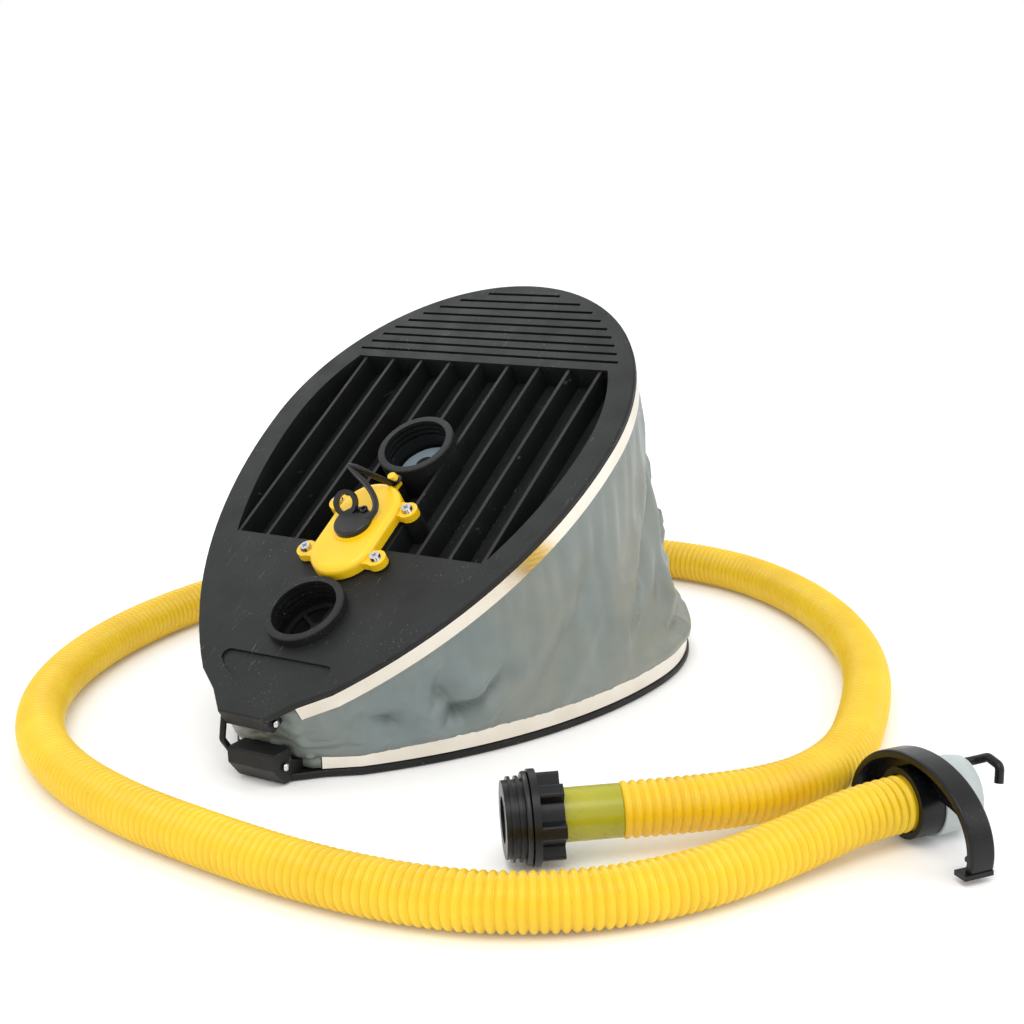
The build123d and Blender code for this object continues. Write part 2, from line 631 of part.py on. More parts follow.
def bow(smaller):
    """The bow's outline as a flat sketch, cut level at its tips."""
    with BuildSketch() as outline:
        with Locations(GRIP_CENTRE):
            Ellipse(GRIP_HALF - smaller, GRIP_RISE - smaller, rotation=GRIP_ROLL)
        with Locations((0, GRIP_FLOOR)):
            Rectangle(3 * GRIP_HALF, 2 * GRIP_RISE, align=(Align.CENTER, Align.MAX), mode=Mode.SUBTRACT)
    return outline.sketch


with BuildPart() as adapter_grip:
    # rim: a bow of even thickness that stands on its two tips
    with BuildSketch(adapter_plane.offset(-8)):
        add(bow(0))
        add(bow(GRIP_RIM), mode=Mode.SUBTRACT)
    extrude(amount=11)
    rim_edges = adapter_grip.edges().filter_by(lambda edge: edge.length > 60)
    outer_edges = rim_edges.sort_by(SortBy.LENGTH)[-2:]
    fillet(outer_edges, radius=1.2)
    # web between the rim and the collar, hollowed underneath
    with BuildSketch(adapter_plane):
        add(bow(1))
        with Locations(GRIP_CENTRE):
            Ellipse(GRIP_HALF - 11, 13, rotation=GRIP_ROLL, mode=Mode.SUBTRACT)
        with Locations((0, GRIP_FLOOR)):
            Rectangle(2 * GRIP_HALF - 22, 6, mode=Mode.SUBTRACT)
        Circle(COLLAR_R)
    extrude(amount=3)
    with BuildSketch(adapter_plane.offset(-8)):
        Circle(COLLAR_R)
        Circle(HOSE_R + 0.4, mode=Mode.SUBTRACT)
    extrude(amount=8)
    # turned-in lips at the tips
    with BuildSketch(adapter_plane.offset(-10.5)):
        with Locations((-42.2, GRIP_FLOOR + 1), (34.0, GRIP_FLOOR + 1)):
            Rectangle(7, 2)
    extrude(amount=13)
    with BuildSketch(adapter_plane):
        Circle(HOSE_BORE_R - 0.6)
    extrude(amount=3, mode=Mode.SUBTRACT)
finish(adapter_grip, "adapter_grip")

with BuildPart() as adapter_nozzle:
    with BuildSketch(adapter_plane.offset(3)):
        Circle(NOZZLE_R)
    extrude(amount=NOZZLE_LENGTH - 5)
    with BuildSketch(adapter_plane.offset(NOZZLE_LENGTH - 2)):
        Circle(NOZZLE_R)
    extrude(amount=5, taper=10)
    with BuildSketch(adapter_plane.offset(3)):
        Circle(HOSE_BORE_R - 0.6)
    extrude(amount=NOZZLE_LENGTH + 1, mode=Mode.SUBTRACT)
finish(adapter_nozzle, "adapter_nozzle")


def at_adapter(across, up, along):
    """A point of the adapter's own frame."""
    return adapter_plane.from_local_coords(Vector(across, up, along))


with BuildPart() as adapter_hook:
    with BuildLine() as hook_path:
        FilletPolyline(
            at_adapter(-2.0, 12.9, 21.0), at_adapter(-2.0, 12.9, 25.0), at_adapter(-7.0, 15.6, 28.0),
            at_adapter(-14.0, 14.2, 28.5), at_adapter(-15.0, 7.5, 27.5), radius=2.4,
        )
    with BuildSketch(Plane(origin=hook_path.line @ 0, z_dir=hook_path.line % 0)):
        Circle(HOOK_WIRE_R)
    sweep()
finish(adapter_hook, "adapter_hook")
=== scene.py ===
"""Looks of the foot air pump: camera, light, materials, bellows, hose, strap and small pieces."""
from math import asin, atan2, cos, hypot, pi, radians, sin

import bpy
import numpy as np
from mathutils import Matrix, Vector, noise


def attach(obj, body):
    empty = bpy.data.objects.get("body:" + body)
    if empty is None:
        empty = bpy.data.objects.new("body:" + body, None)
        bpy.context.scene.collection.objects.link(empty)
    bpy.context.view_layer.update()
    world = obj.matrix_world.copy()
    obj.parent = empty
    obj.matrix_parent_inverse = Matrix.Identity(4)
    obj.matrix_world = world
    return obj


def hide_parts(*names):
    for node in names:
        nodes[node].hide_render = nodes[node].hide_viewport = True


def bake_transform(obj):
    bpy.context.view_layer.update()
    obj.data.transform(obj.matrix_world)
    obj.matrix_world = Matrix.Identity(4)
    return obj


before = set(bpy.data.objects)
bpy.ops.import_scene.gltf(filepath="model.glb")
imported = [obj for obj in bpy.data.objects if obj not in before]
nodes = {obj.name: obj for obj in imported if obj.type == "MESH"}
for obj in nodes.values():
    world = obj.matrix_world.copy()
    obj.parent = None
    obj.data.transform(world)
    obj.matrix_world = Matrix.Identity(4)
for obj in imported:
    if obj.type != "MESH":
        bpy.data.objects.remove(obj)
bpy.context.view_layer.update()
MM = 0.001

# ---- the pump's own sizes, in millimetres, as its drawing gives them -------------------
PLATE_LENGTH = 300.0
PLATE_HALF_WIDTH = 103.5
WIDEST_AT = 187.0
SIDE_RADIUS = 242.0
SIDE_START_ANGLE = 133.3
TAB_HALF_WIDTH = 13.3
NECK = (11.0, 24.0)
NECK_INWARD = (0.757, -0.659)
OPEN_ANGLE = radians(32.3)
BASE_EDGE_X = -142.0
PLATE_EDGE = Vector((-158.0, 0.0, 35.4))
PIN = Vector((-146.3, 0.0, 9.0))
PLATE_X = Vector((cos(OPEN_ANGLE), 0, sin(OPEN_ANGLE)))
PLATE_Z = Vector((-sin(OPEN_ANGLE), 0, cos(OPEN_ANGLE)))
HOSE_R = 11.6
HOSE_ROUTE = [
    (-0.1373, -0.1808, 0.0193), (-0.1297, -0.1901, 0.0193), (-0.1126, -0.2069, 0.0182),
    (-0.0897, -0.2212, 0.0156),
    (-0.0613, -0.2307, 0.0132), (-0.022, -0.232, 0.0120), (0.028, -0.219, 0.0117), (0.075, -0.202, 0.0117),
    (0.118, -0.178, 0.0117), (0.160, -0.144, 0.0117), (0.194, -0.103, 0.0117), (0.216, -0.060, 0.0117),
    (0.222, -0.010, 0.0117), (0.213, 0.040, 0.0117), (0.192, 0.086, 0.0117), (0.160, 0.129, 0.0117),
    (0.118, 0.163, 0.0117), (0.070, 0.186, 0.0117), (0.014, 0.196, 0.0117), (-0.041, 0.192, 0.0117),
    (-0.092, 0.177, 0.0117), (-0.139, 0.150, 0.0117), (-0.178, 0.111, 0.0117), (-0.203, 0.066, 0.0117),
    (-0.218, 0.015, 0.0117), (-0.225, -0.038, 0.0117), (-0.229, -0.090, 0.0117), (-0.226, -0.136, 0.0117),
    (-0.215, -0.174, 0.0117), (-0.191, -0.209, 0.0117), (-0.156, -0.234, 0.0117), (-0.116, -0.251, 0.0133),
    (-0.0877, -0.2632, 0.0160), (-0.0665, -0.2783, 0.0160),
]


def on_plate(along, across, height):
    """A point of the foot plate's own frame, in millimetres of the shared frame."""
    return PLATE_EDGE + PLATE_X * along + Vector((0, across, 0)) + PLATE_Z * height


def on_base(along, across, height):
    """A point of the base's own frame, in millimetres of the shared frame."""
    return Vector((BASE_EDGE_X + along, across, height))


# ---- camera, floor and light -----------------------------------------------------------
def make_camera():
    yaw, pitch, roll = radians(33.32), radians(14.08), radians(-2.35)
    forward = Vector((cos(yaw) * cos(pitch), sin(yaw) * cos(pitch), -sin(pitch)))
    level = Vector((sin(yaw), -cos(yaw), 0))
    rise = level.cross(forward)
    right = level * cos(roll) + rise * sin(roll)
    up = rise * cos(roll) - level * sin(roll)
    data = bpy.data.cameras.new("camera")
    data.lens = 59.63
    data.sensor_width = 36.0
    camera = bpy.data.objects.new("camera", data)
    bpy.context.scene.collection.objects.link(camera)
    turn = Matrix((right, up, -forward)).transposed().to_4x4()
    camera.matrix_world = Matrix.Translation((-0.6817, -0.4930, 0.3006)) @ turn
    bpy.context.scene.camera = camera


def area_light(name, place, target, size, power, colour):
    data = bpy.data.lights.new(name, "AREA")
    data.shape = "DISK"
    data.size = size
    data.energy = power
    data.color = colour
    lamp = bpy.data.objects.new(name, data)
    bpy.context.scene.collection.objects.link(lamp)
    lamp.location = place
    lamp.rotation_euler = (Vector(target) - Vector(place)).to_track_quat("-Z", "Y").to_euler()


def make_stage():
    bpy.ops.mesh.primitive_plane_add(size=12, location=(0, 0, -0.0003))
    floor = bpy.context.object
    floor.name = "studio_floor"
    paint = bpy.data.materials.new("studio_floor")
    paint.use_nodes = True
    shader = paint.node_tree.nodes["Principled BSDF"]
    shader.inputs["Base Color"].default_value = (0.96, 0.96, 0.96, 1)
    shader.inputs["Roughness"].default_value = 0.9
    shader.inputs["Specular IOR Level"].default_value = 0.1
    shader.inputs["Emission Color"].default_value = (1, 1, 1, 1)
    shader.inputs["Emission Strength"].default_value = 0.07
    floor.data.materials.append(paint)
    world = bpy.data.worlds.new("studio")
    world.use_nodes = True
    back = world.node_tree.nodes["Background"]
    back.inputs["Color"].default_value = (1.0, 1.0, 1.0, 1)
    back.inputs["Strength"].default_value = 1.0
    bpy.context.scene.world = world
    area_light("key", (-0.9, -0.5, 1.5), (0, 0, 0.05), 1.1, 9, (1.0, 0.98, 0.95))
    area_light("side", (0.5, -1.5, 0.8), (0, 0, 0.05), 0.9, 4, (1.0, 0.97, 0.93))
    area_light("back", (0.9, 1.2, 1.3), (0, 0, 0.1), 1.0, 5, (0.95, 0.98, 1.0))
    bpy.context.scene.view_settings.view_transform = "Standard"


# ---- materials --------------------------------------------------------------------------
def linear(red, green, blue):
    """Display values from 0 to 255 as a linear colour."""
    def channel(value):
        value /= 255
        return value / 12.92 if value <= 0.04045 else ((value + 0.055) / 1.055) ** 2.4
    return (channel(red), channel(green), channel(blue), 1.0)


class Paint:
    """A small helper that builds one node material."""

    def __init__(self, name):
        self.material = bpy.data.materials.new(name)
        self.material.use_nodes = True
        self.tree = self.material.node_tree
        self.shader = self.tree.nodes["Principled BSDF"]
        self.place = self.tree.nodes.new("ShaderNodeTexCoord").outputs["Object"]

    def set(self, **values):
        for key, value in values.items():
            self.shader.inputs[key.replace("_", " ")].default_value = value
        return self

    def link(self, a, b):
        self.tree.links.new(a, b)

    def stretch(self, scale):
        node = self.tree.nodes.new("ShaderNodeMapping")
        node.inputs["Scale"].default_value = scale
        self.link(self.place, node.inputs["Vector"])
        return node.outputs["Vector"]

    def noise(self, scale, detail=3.0, rough=0.55, stretch=None, distortion=0.0):
        node = self.tree.nodes.new("ShaderNodeTexNoise")
        node.inputs["Scale"].default_value = scale
        node.inputs["Detail"].default_value = detail
        node.inputs["Roughness"].default_value = rough
        node.inputs["Distortion"].default_value = distortion
        self.link(self.stretch(stretch) if stretch else self.place, node.inputs["Vector"])
        return node.outputs["Fac"]

    def ramp(self, value, *stops):
        node = self.tree.nodes.new("ShaderNodeValToRGB")
        points = node.color_ramp.elements
        while len(points) < len(stops):
            points.new(0.5)
        for point, (place, colour) in zip(points, stops):
            point.position = place
            point.color = colour if len(colour) == 4 else (*colour, 1)
        self.link(value, node.inputs["Fac"])
        return node.outputs["Color"]

    def span(self, value, low, high, out_low, out_high):
        node = self.tree.nodes.new("ShaderNodeMapRange")
        node.inputs["From Min"].default_value = low
        node.inputs["From Max"].default_value = high
        node.inputs["To Min"].default_value = out_low
        node.inputs["To Max"].default_value = out_high
        self.link(value, node.inputs["Value"])
        return node.outputs["Result"]

    def mix(self, factor, first, second):
        node = self.tree.nodes.new("ShaderNodeMix")
        node.data_type = "RGBA"
        self.link(factor, node.inputs["Factor"])
        for socket, value in ((node.inputs["A"], first), (node.inputs["B"], second)):
            if isinstance(value, tuple):
                socket.default_value = value
            else:
                self.link(value, socket)
        return node.outputs["Result"]

    def colour(self, value):
        self.link(value, self.shader.inputs["Base Color"])
        return self

    def rough(self, value):
        self.link(value, self.shader.inputs["Roughness"])
        return self

    def bump(self, *layers):
        """Layers of (height, strength, depth in millimetres), the coarsest first."""
        below = None
        for height, strength, depth in layers:
            node = self.tree.nodes.new("ShaderNodeBump")
            node.inputs["Strength"].default_value = strength
            node.inputs["Distance"].default_value = depth * MM
            self.link(height, node.inputs["Height"])
            if below is not None:
                self.link(below, node.inputs["Normal"])
            below = node.outputs["Normal"]
        self.link(below, self.shader.inputs["Normal"])
        return self


def moulded_black(name, level, gloss, dust):
    """Black moulding: fine grain, uneven gloss, faint handling marks and a little pale dust."""
    paint = Paint(name).set(Specular_IOR_Level=0.32)
    base = linear(*level)
    lighter = linear(level[0] + 10, level[1] + 11, level[2] + 12)
    cloud = paint.ramp(paint.noise(16, 4, 0.6), (0.35, base), (0.72, lighter))
    specks = paint.noise(900, 2, 0.7)
    patches = paint.noise(38, 5, 0.7)
    specks = paint.span(specks, 0.64, 0.74, 0, 1)
    patches = paint.span(patches, 0.52, 0.68, 0, dust)
    both = paint.tree.nodes.new("ShaderNodeMath")
    both.operation = "MULTIPLY"
    paint.link(specks, both.inputs[0])
    paint.link(patches, both.inputs[1])
    scratches = paint.noise(60, 2, 0.5, stretch=(1.0, 14.0, 3.0), distortion=1.5)
    scratches = paint.span(scratches, 0.70, 0.76, 0, dust * 0.35)
    marks = paint.tree.nodes.new("ShaderNodeMath")
    marks.operation = "MAXIMUM"
    paint.link(both.outputs[0], marks.inputs[0])
    paint.link(scratches, marks.inputs[1])
    paint.colour(paint.mix(marks.outputs[0], cloud, linear(128, 132, 134)))
    paint.rough(paint.span(paint.noise(55, 4), 0.3, 0.7, gloss - 0.07, gloss + 0.1))
    paint.bump((paint.noise(120, 3), 0.12, 0.12), (paint.noise(1500, 2), 0.25, 0.03))
    return paint.material


def steel_strip():
    paint = Paint("polished_steel").set(Metallic=1.0)
    paint.colour(paint.ramp(paint.noise(30, 3), (0.3, linear(222, 214, 200)), (0.7, linear(238, 232, 222))))
    paint.rough(paint.span(paint.noise(90, 4, stretch=(1, 1, 12)), 0.3, 0.7, 0.10, 0.22))
    paint.bump((paint.noise(26, 2), 0.25, 0.25), (paint.noise(500, 2, stretch=(1, 1, 20)), 0.08, 0.02))
    return paint.material


def plain_metal(name, colour, low, high):
    paint = Paint(name).set(Metallic=1.0)
    darker = linear(*[c * 0.86 for c in colour])
    paint.colour(paint.ramp(paint.noise(200, 3), (0.3, linear(*colour)), (0.7, darker)))
    paint.rough(paint.span(paint.noise(260, 3), 0.3, 0.7, low, high))
    return paint.material


def grey_vinyl():
    """Heavy vinyl sheet: cloudy blue-grey to warm grey, soft gloss, a faint orange-peel surface."""
    paint = Paint("grey_vinyl").set(Coat_Weight=0.18, Coat_Roughness=0.28, Subsurface_Weight=0.04)
    paint.shader.inputs["Subsurface Radius"].default_value = (0.004, 0.005, 0.006)
    cool = linear(112, 126, 129)
    warm = linear(130, 133, 124)
    broad = paint.ramp(paint.noise(9, 4, 0.6, distortion=0.8), (0.34, cool), (0.66, warm))
    fine = paint.span(paint.noise(70, 4), 0.35, 0.7, 0.0, 0.35)
    paint.colour(paint.mix(fine, broad, linear(100, 112, 113)))
    paint.rough(paint.span(paint.noise(24, 3), 0.3, 0.7, 0.34, 0.5))
    paint.bump((paint.noise(30, 3, 0.5), 0.3, 0.7), (paint.noise(1100, 2), 0.12, 0.02))
    return paint.material


def soft_plastic(name, dark, light, low, high, subsurface, grain=900):
    """Glossy coloured plastic or vinyl with slightly uneven colour and fine grain."""
    paint = Paint(name).set(Coat_Weight=0.12, Coat_Roughness=0.25, Subsurface_Weight=subsurface)
    paint.shader.inputs["Subsurface Radius"].default_value = (0.004, 0.003, 0.001)
    broad = paint.ramp(paint.noise(22, 4, 0.6), (0.3, linear(*dark)), (0.7, linear(*light)))
    grime = paint.span(paint.noise(130, 5, 0.7), 0.60, 0.78, 0.0, 0.30)
    paint.colour(paint.mix(grime, broad, linear(*[c * 0.80 for c in dark])))
    paint.rough(paint.span(paint.noise(60, 3), 0.3, 0.7, low, high))
    paint.bump((paint.noise(160, 3), 0.12, 0.08), (paint.noise(grain, 2), 0.12, 0.02))
    return paint.material


def rubber(name, level, gloss):
    paint = Paint(name)
    paint.colour(paint.ramp(paint.noise(80, 4, 0.6), (0.35, linear(*level)),
                            (0.7, linear(*[c + 9 for c in level]))))
    paint.rough(paint.span(paint.noise(150, 3), 0.3, 0.7, gloss - 0.06, gloss + 0.1))
    paint.bump((paint.noise(700, 3), 0.2, 0.04))
    return paint.material


# ---- mesh helpers -----------------------------------------------------------------------
def mesh_object(name, points, faces, material, smooth=True):
    data = bpy.data.meshes.new(name)
    data.from_pydata([tuple(point) for point in points], [], faces)
    data.validate()
    data.polygons.foreach_set("use_smooth", [smooth] * len(data.polygons))
    data.materials.append(material)
    piece = bpy.data.objects.new(name, data)
    bpy.context.scene.collection.objects.link(piece)
    return piece


def grid_faces(rows, columns, closed):
    """Quads of a grid of points, row after row; closed joins each row's last point to its first."""
    faces = []
    for row in range(rows - 1):
        for column in range(columns if closed else columns - 1):
            a = row * columns + column
            b = row * columns + (column + 1) % columns
            faces.append((a, b, b + columns, a + columns))
    return faces


def spline_points(name, route, steps):
    """Points along the smooth line that the route's points control, as an array."""
    data = bpy.data.curves.new(name, "CURVE")
    data.dimensions = "3D"
    spline = data.splines.new("NURBS")
    spline.points.add(len(route) - 1)
    for point, place in zip(spline.points, route):
        point.co = (*place, 1)
    spline.order_u = 3
    spline.use_endpoint_u = True
    spline.resolution_u = steps
    line = bpy.data.objects.new(name, data)
    bpy.context.scene.collection.objects.link(line)
    bpy.context.view_layer.update()
    mesh = bpy.data.meshes.new_from_object(line)
    points = np.array([vertex.co for vertex in mesh.vertices])
    bpy.data.objects.remove(line)
    bpy.data.meshes.remove(mesh)
    return points


def resample(points, count):
    """The line's points at even steps, and its length."""
    steps = np.linalg.norm(np.diff(points, axis=0), axis=1)
    walked = np.concatenate([[0], np.cumsum(steps)])
    even = np.linspace(0, walked[-1], count)
    return np.stack([np.interp(even, walked, points[:, axis]) for axis in range(3)], axis=1), walked[-1]


def frames_along(points, first_side):
    """Tangent, side and upward direction at each point, turned as little as possible."""
    tangents = np.gradient(points, axis=0)
    tangents /= np.linalg.norm(tangents, axis=1)[:, None]
    side = np.array(first_side, float)
    result = []
    for tangent in tangents:
        side = side - tangent * (side @ tangent)
        side /= np.linalg.norm(side)
        result.append((tangent, side, np.cross(tangent, side)))
    return result


# ---- hose -------------------------------------------------------------------------------
def make_hose(material):
    """Corrugated hose: one ring of rounded ridges after another along the route's smooth line."""
    pitch, around = 3.8 * MM, 36
    profile = [(0.00, 0.00), (0.14, 0.46), (0.30, 0.86), (0.50, 1.00), (0.70, 0.86), (0.86, 0.46)]
    valley, crest = 10.15 * MM, HOSE_R * MM
    line = spline_points("hose_line", HOSE_ROUTE, 16)
    line, length = resample(line, 1500)
    ridges = int(length / pitch)
    stations = []
    for ridge in range(ridges):
        for offset, height in profile:
            stations.append(((ridge + offset) / ridges, valley + (crest - valley) * height))
    stations.append((1.0, valley))
    walked = np.linspace(0, 1, len(line))
    centres = np.stack(
        [np.interp([place for place, _ in stations], walked, line[:, axis]) for axis in range(3)], axis=1)
    rows = []
    for index, (centre, (tangent, side, up)) in enumerate(zip(centres, frames_along(centres, (0, 0, 1)))):
        radius = stations[index][1]
        for step in range(around):
            angle = 2 * pi * step / around
            rows.append(centre + (side * cos(angle) + up * sin(angle)) * radius)
    outer = len(rows)
    bore = 9.3 * MM
    inner_rows = []
    for end, index in ((0, 0), (1, len(centres) - 1)):
        tangent, side, up = frames_along(centres, (0, 0, 1))[index]
        centre = centres[index]
        for depth in (0, 1):
            inward = tangent * (4 * MM * depth) * (1 if end == 0 else -1)
            for step in range(around):
                angle = 2 * pi * step / around
                inner_rows.append(centre + inward + (side * cos(angle) + up * sin(angle)) * bore)
    points = rows + inner_rows
    faces = grid_faces(len(centres), around, True)
    last = (len(centres) - 1) * around
    near, near_deep = outer, outer + around
    far, far_deep = outer + 2 * around, outer + 3 * around
    for step in range(around):
        after = (step + 1) % around
        faces.append((step, near + step, near + after, after))
        faces.append((near + step, near_deep + step, near_deep + after, near + after))
        faces.append((last + step, last + after, far + after, far + step))
        faces.append((far + step, far + after, far_deep + after, far_deep + step))
    faces.append(tuple(near_deep + step for step in range(around)))
    faces.append(tuple(far_deep + around - 1 - step for step in range(around)))
    hose = mesh_object("corrugated_hose", points, faces, material)
    return hose, [tuple(point) for point in line[::10]] + [tuple(line[-1])], length


# ---- bellows ----------------------------------------------------------------------------
def outline(inset, start, count):
    """Points along the plate's outline, hinge edge included, at even steps, in plate coordinates."""
    slope = (NECK[1] - TAB_HALF_WIDTH) / NECK[0]
    half = TAB_HALF_WIDTH + slope * start - inset * hypot(1, slope)
    neck = (NECK[0] + NECK_INWARD[0] * inset, NECK[1] + NECK_INWARD[1] * inset)
    radius = SIDE_RADIUS - inset
    points = [(start, 0.0), (start, half * 0.6), (start + 0.5, half - 0.6), neck]
    for step in range(61):
        angle = radians(SIDE_START_ANGLE + (90 - SIDE_START_ANGLE) * step / 60)
        points.append((WIDEST_AT + radius * cos(angle), PLATE_HALF_WIDTH - SIDE_RADIUS + radius * sin(angle)))
    for step in range(1, 61):
        angle = pi / 2 * (1 - step / 60)
        points.append((WIDEST_AT + (PLATE_LENGTH - WIDEST_AT - inset) * cos(angle),
                       (PLATE_HALF_WIDTH - inset) * sin(angle)))
    points = np.array(points + [(x, -y) for x, y in reversed(points[1:-1])] + [points[0]])
    points = np.column_stack([points, np.zeros(len(points))])
    even, _ = resample(points, count + 1)
    return even[:-1, :2]


def bellows_points(around, levels):
    """Rows of the bellows, from inside the lower band to inside the upper one."""
    low = outline(2.0, 8.8, around)
    rows = [[on_base(x, y, height) for x, y in low] for height in (4.5, 8.0, 11.6)]
    high_rows = [[on_plate(x, y, -3.0 - height) for x, y in low] for height in (8.8, 5.0, 1.6)]
    for level in range(1, levels):
        share = level / levels
        rows.append([a.lerp(b, share) for a, b in zip(rows[2], high_rows[0])])
    return rows + high_rows


def ridge(x, y, z):
    """Noise with sharp crests, from 0 to 1."""
    return (1 - min(1.0, 2.2 * abs(noise.noise(Vector((x, y, z)))))) ** 2


CREASE_STRENGTH = 2.2
# creases: side, then (x, share of the height) at both ends, depth and half width, in millimetres
CREASES = [
    (-1, (118, 0.88), (66, 0.10), 3.0, 6.5), (-1, (129, 0.92), (104, 0.20), 3.6, 5.5),
    (-1, (141, 0.84), (134, 0.22), 3.4, 5.0), (-1, (58, 0.78), (18, 0.30), 1.7, 6.0),
    (-1, (25, 0.42), (12, 0.30), 2.8, 2.4), (-1, (96, 0.62), (122, 0.30), 2.6, 4.0),
    (-1, (-70, 0.46), (-93, 0.22), 3.2, 3.6), (-1, (-99, 0.66), (-84, 0.15), 3.0, 4.0),
    (-1, (-18, 0.72), (-62, 0.12), 1.6, 7.0), (-1, (-110, 0.35), (-122, 0.60), 2.6, 3.5),
    (-1, (80, 0.22), (64, 0.34), 2.2, 2.6), (1, (124, 0.90), (84, 0.15), 3.2, 6.5),
    (1, (139, 0.82), (126, 0.24), 3.6, 5.0), (1, (70, 0.70), (34, 0.24), 2.0, 6.0),
    (1, (-58, 0.55), (-88, 0.20), 3.0, 4.0), (1, (-102, 0.62), (-90, 0.18), 2.8, 4.0),
    (1, (8, 0.46), (-8, 0.30), 2.4, 2.6), (1, (100, 0.55), (118, 0.28), 2.4, 4.0),
]


def crease_depth(place, share, height):
    """Depth in millimetres of the creases near a point: a sharp valley between two soft shoulders."""
    x, up, side = place[0] / MM, share * height, 1 if place[1] > 0 else -1
    total = 0.0
    for crease_side, first, last, deep, wide in CREASES:
        if crease_side != side:
            continue
        start = (first[0], first[1] * height)
        way = (last[0] - start[0], last[1] * height - start[1])
        along = ((x - start[0]) * way[0] + (up - start[1]) * way[1]) / (way[0] ** 2 + way[1] ** 2)
        along = min(1.0, max(0.0, along))
        apart = hypot(x - start[0] - along * way[0], up - start[1] - along * way[1])
        if apart > 6 * wide:
            continue
        strength = deep * (0.35 + 0.65 * sin(pi * along))
        total += strength * (0.5 * np.exp(-((apart / wide - 2.3) / 1.1) ** 2) - np.exp(-apart / wide))
    return total


def fold_depth(place, around, share, toe):
    """How far, in millimetres, the slack sheet stands out of its straight line between the bands."""
    x, y, z = place
    heel = max(0.0, min(1.0, (-0.085 - x) / 0.04))
    swell = sin(pi * share)
    hang = 1.6 * noise.noise(Vector((around * 17, share * 1.3, 3.1)))
    drag = ridge(around * 13 + share * 1.1, share * 1.7 - around * 5, 8.4)
    crumple = ridge(around * 34 - share * 2.2, share * 4.3 + around * 9, 1.7)
    soft = noise.noise(Vector((x * 45, y * 45, z * 30)))
    depth = -1.0 - 3.2 * toe + hang * (1.2 + 1.6 * toe) + drag * (1.4 + 2.2 * toe)
    depth += crumple * (0.2 + 2.6 * toe + 2.4 * heel) + soft * (0.5 + 0.9 * toe)
    lip = (1.6 + 1.2 * toe) * np.exp(-((share - 0.07) / 0.05) ** 2)
    pinched = -4.5 * toe * np.exp(-((share - 0.80) / 0.15) ** 2)
    return swell * depth + pinched + lip * min(1.0, share * 20)


def make_bellows(material):
    """Vinyl wall between the two bands: slack sheet, pinned under both bands and left to buckle."""
    around, levels = ((440, 46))
    rows = bellows_points(around, levels)
    points = [np.array(point) * MM for row in rows for point in row]
    array = np.array(points).reshape(len(rows), around, 3)
    steps = np.roll(array, -1, axis=1) - np.roll(array, 1, axis=1)
    climb = np.gradient(array, axis=0)
    normals = np.cross(steps, climb)
    normals /= np.linalg.norm(normals, axis=2)[:, :, None] + 1e-12
    if (normals[len(rows) // 2, around // 2] @ np.array([1, 0, 0])) < 0:
        normals = -normals
    free = len(rows) - 6
    walked = np.linalg.norm(array[2] - np.roll(array[2], 1, axis=0), axis=1).cumsum()
    heights = np.linalg.norm(array[-3] - array[2], axis=1) / MM
    for row in range(2, len(rows) - 3 + 1):
        share = (row - 2) / (free + 1)
        for column in range(around):
            place = array[row, column]
            toe = max(0.0, min(1.0, (place[0] + 0.02) / 0.12))
            depth = fold_depth(place, walked[column], share, toe)
            array[row, column] = place + normals[row, column] * depth * MM
    sheet = mesh_object("bellows_sheet", array.reshape(-1, 3), grid_faces(len(rows), around, True), material)
    buckle(sheet, len(rows), around)
    press_creases(sheet, normals, heights)
    thicken = sheet.modifiers.new("thickness", "SOLIDIFY")
    thicken.thickness = 0.7 * MM
    thicken.offset = -1
    return sheet


def press_creases(sheet, normals, heights):
    """Presses the creases into the settled wall, after the cloth step, which would relax them away."""
    rows, around = normals.shape[:2]
    for row in range(3, rows - 3):
        share = (row - 2) / (rows - 5)
        fade = min(1.0, share * 9) * min(1.0, (1 - share) * 9)
        for column in range(around):
            vertex = sheet.data.vertices[row * around + column]
            depth = CREASE_STRENGTH * fade * crease_depth(vertex.co, share, heights[column])
            vertex.co = vertex.co + Vector(normals[row, column]) * depth * MM


def buckle(sheet, rows, around):
    """Lets the sheet grow a little inside its two pinned rims, so that it buckles as slack vinyl does."""
    start = np.array([vertex.co for vertex in sheet.data.vertices])
    pins = sheet.vertex_groups.new(name="pins")
    held = [index for index in range(rows * around) if index // around < 3 or index // around >= rows - 3]
    pins.add(held, 1.0, "REPLACE")
    cloth = sheet.modifiers.new("cloth", "CLOTH")
    cloth.settings.quality = 6
    cloth.settings.mass = 0.4
    cloth.settings.tension_stiffness = 40
    cloth.settings.compression_stiffness = 40
    cloth.settings.shear_stiffness = 20
    cloth.settings.bending_stiffness = 6
    cloth.settings.air_damping = 4
    cloth.settings.vertex_group_mass = "pins"
    cloth.settings.pin_stiffness = 50
    cloth.settings.shrink_min = -0.02
    cloth.settings.effector_weights.gravity = 0.15
    cloth.collision_settings.use_collision = False
    cloth.collision_settings.use_self_collision = False
    scene = bpy.context.scene
    cloth.point_cache.frame_start = 1
    cloth.point_cache.frame_end = 26
    for tick in range(1, 27):
        scene.frame_set(tick)
    settled = sheet.evaluated_get(bpy.context.evaluated_depsgraph_get())
    moved = np.array([vertex.co for vertex in settled.data.vertices])
    sheet.modifiers.remove(cloth)
    sheet.vertex_groups.remove(pins)
    scene.frame_set(1)
    shift = moved - start
    reach = np.linalg.norm(shift, axis=1)
    cap = 6.0 * MM
    shift *= np.minimum(1, cap / np.maximum(reach, 1e-9))[:, None]
    sheet.data.vertices.foreach_set("co", (start + shift).astype(np.float32).ravel())
    sheet.data.update()


